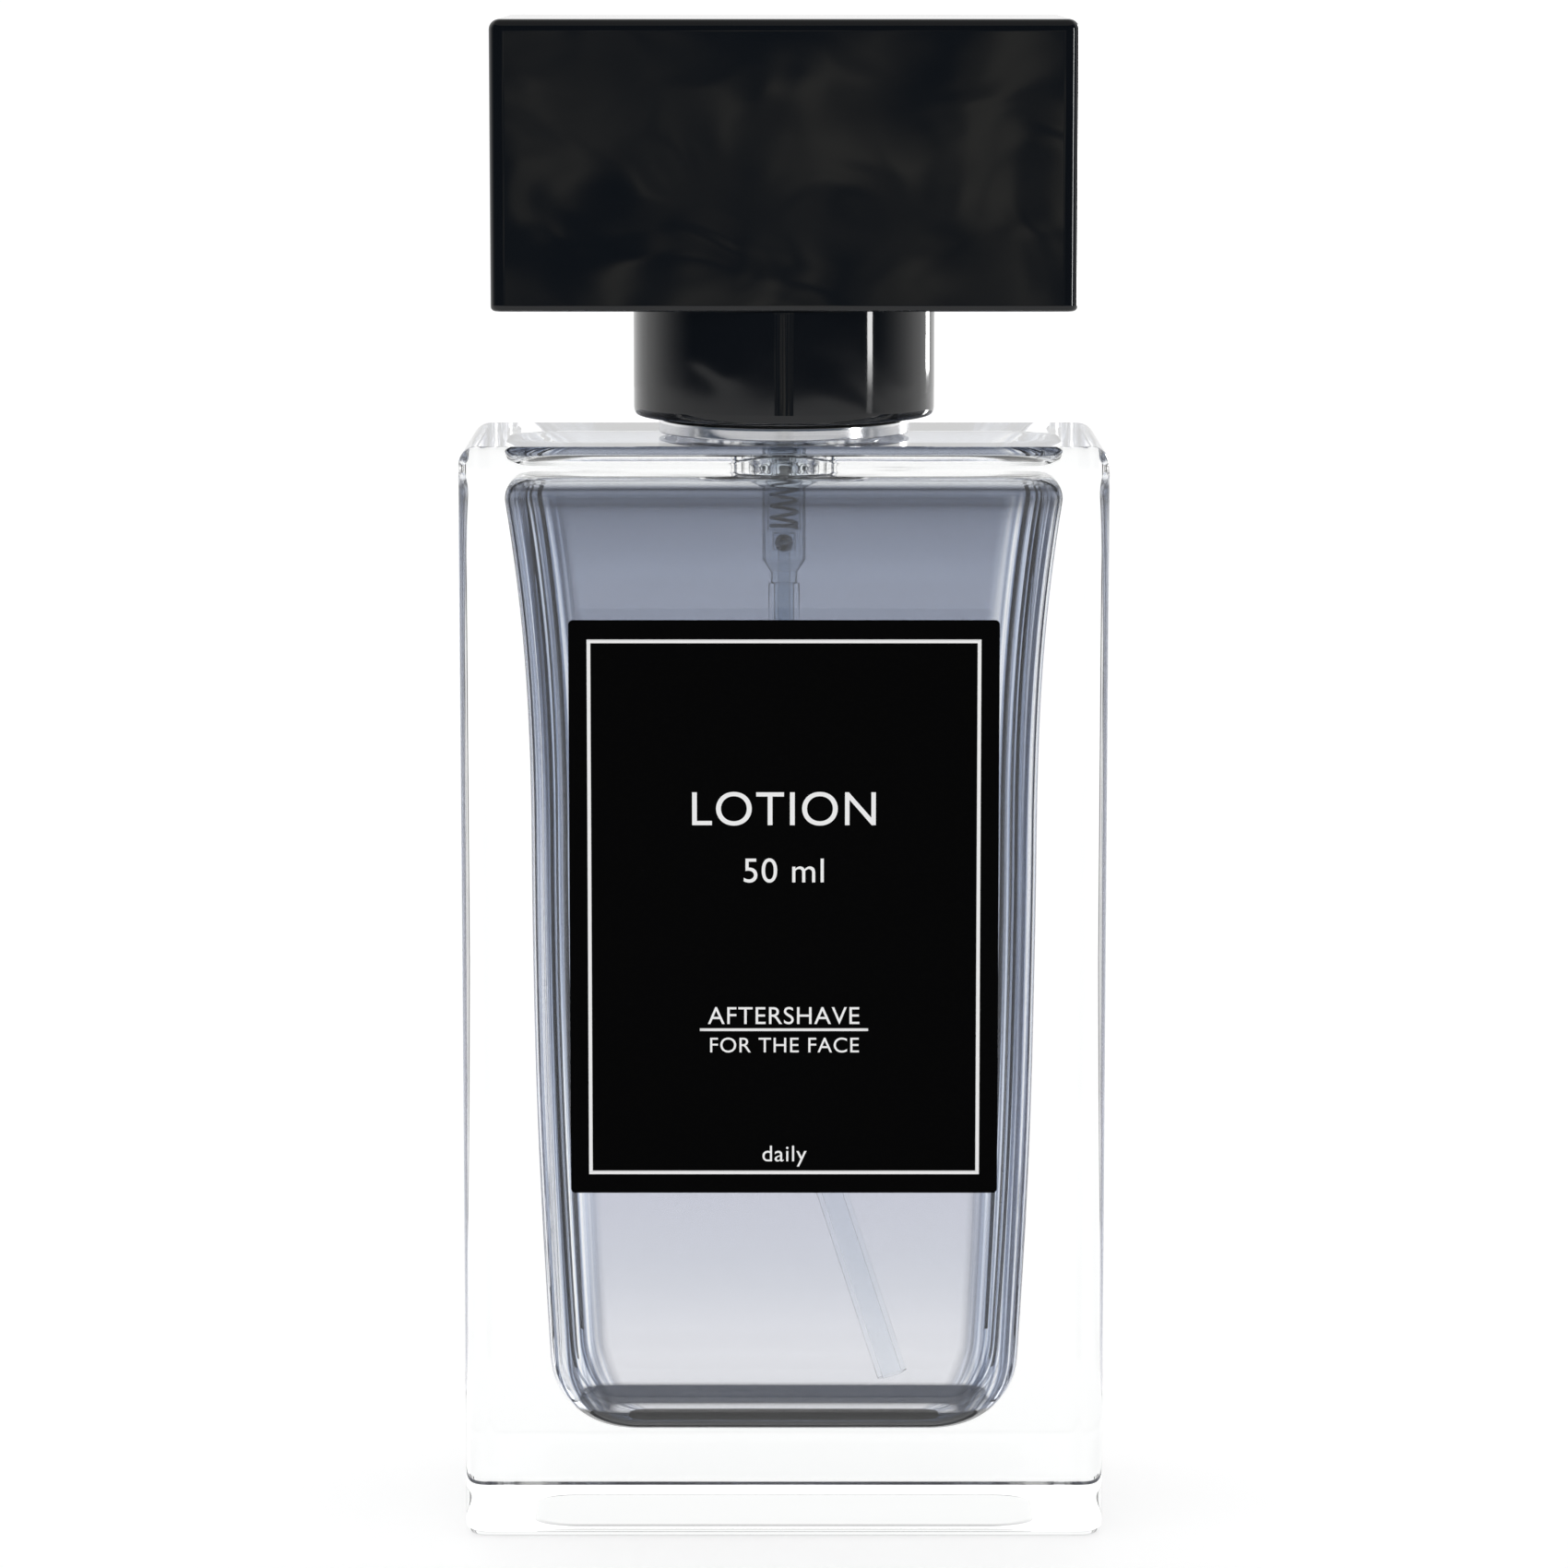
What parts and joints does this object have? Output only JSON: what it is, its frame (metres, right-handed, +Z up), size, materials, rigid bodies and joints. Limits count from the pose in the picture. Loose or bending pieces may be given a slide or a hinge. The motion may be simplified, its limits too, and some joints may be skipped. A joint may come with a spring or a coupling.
{
  "type": "aftershave bottle",
  "caption": "Heavy rectangular glass bottle with a tinted fill, a crimped spray pump and a black T-shaped block cap that lifts off and turns.",
  "frame": {"origin": "middle of the glass foot, on the surface that the bottle stands on", "axes": "+Z up through the neck, +X to the right of the label, -Y out of the label's face"},
  "size_m": [0.056, 0.0282, 0.1324],
  "materials": {
    "clear_glass": "clear polished glass",
    "aftershave": "clear slate-blue liquid",
    "black_label": "matt black film",
    "white_gasket": "soft white elastomer",
    "natural_plastic": "translucent natural polypropylene",
    "white_plastic": "moulded white plastic",
    "clear_tube": "translucent polyethylene",
    "spring_steel": "drawn stainless wire",
    "ball_steel": "polished stainless ball",
    "crimp_aluminium": "bright anodised, drawn",
    "collar_aluminium": "bright anodised, drawn",
    "button_aluminium": "satin anodised, drawn",
    "black_plastic": "moulded black polypropylene",
    "gloss_black": "gloss black"
  },
  "bodies": {
    "bottle": {"glass_bottle": "clear_glass", "aftershave_fill": "aftershave", "front_label": "black_label", "neck_gasket": "white_gasket", "pump_housing": "natural_plastic", "stem_gasket": "white_gasket", "turret": "white_plastic", "crimp_ferrule": "crimp_aluminium", "collar_sleeve": "collar_aluminium", "dip_tube": "clear_tube", "return_spring": "spring_steel"},
    "ball": {"inlet_ball": "ball_steel"},
    "stem": {"valve_pin": "white_plastic", "piston": "white_plastic", "pump_stem": "white_plastic"},
    "button": {"actuator_core": "white_plastic", "actuator_shell": "button_aluminium", "nozzle_insert": "black_plastic"},
    "cap_grip": {"cap_liner": "black_plastic"},
    "cap": {"cap_shell": "gloss_black", "cap_base": "gloss_black"}
  },
  "joints": [
    {"name": "cap_lift", "type": "slide", "parent": "bottle", "child": "cap_grip", "axis": [0, 0, 1], "range_m": [0, 0.04]},
    {"name": "cap_turn", "type": "hinge", "parent": "cap_grip", "child": "cap", "pos_m": [0, 0, 0.11], "axis": [0, 0, 1], "continuous": true},
    {"name": "pump_press", "type": "slide", "parent": "bottle", "child": "stem", "axis": [0, 0, -1], "range_m": [0, 0.004], "stiffness_N_per_m": 900, "springref_m": -0.0015, "deforming": ["return_spring"]},
    {"name": "button_turn", "type": "hinge", "parent": "stem", "child": "button", "pos_m": [0, 0, 0.116], "axis": [0, 0, 1], "continuous": true},
    {"name": "ball_lift", "type": "slide", "parent": "bottle", "child": "ball", "axis": [0, 0, 1], "range_m": [0, 0.00045]}
  ]
}
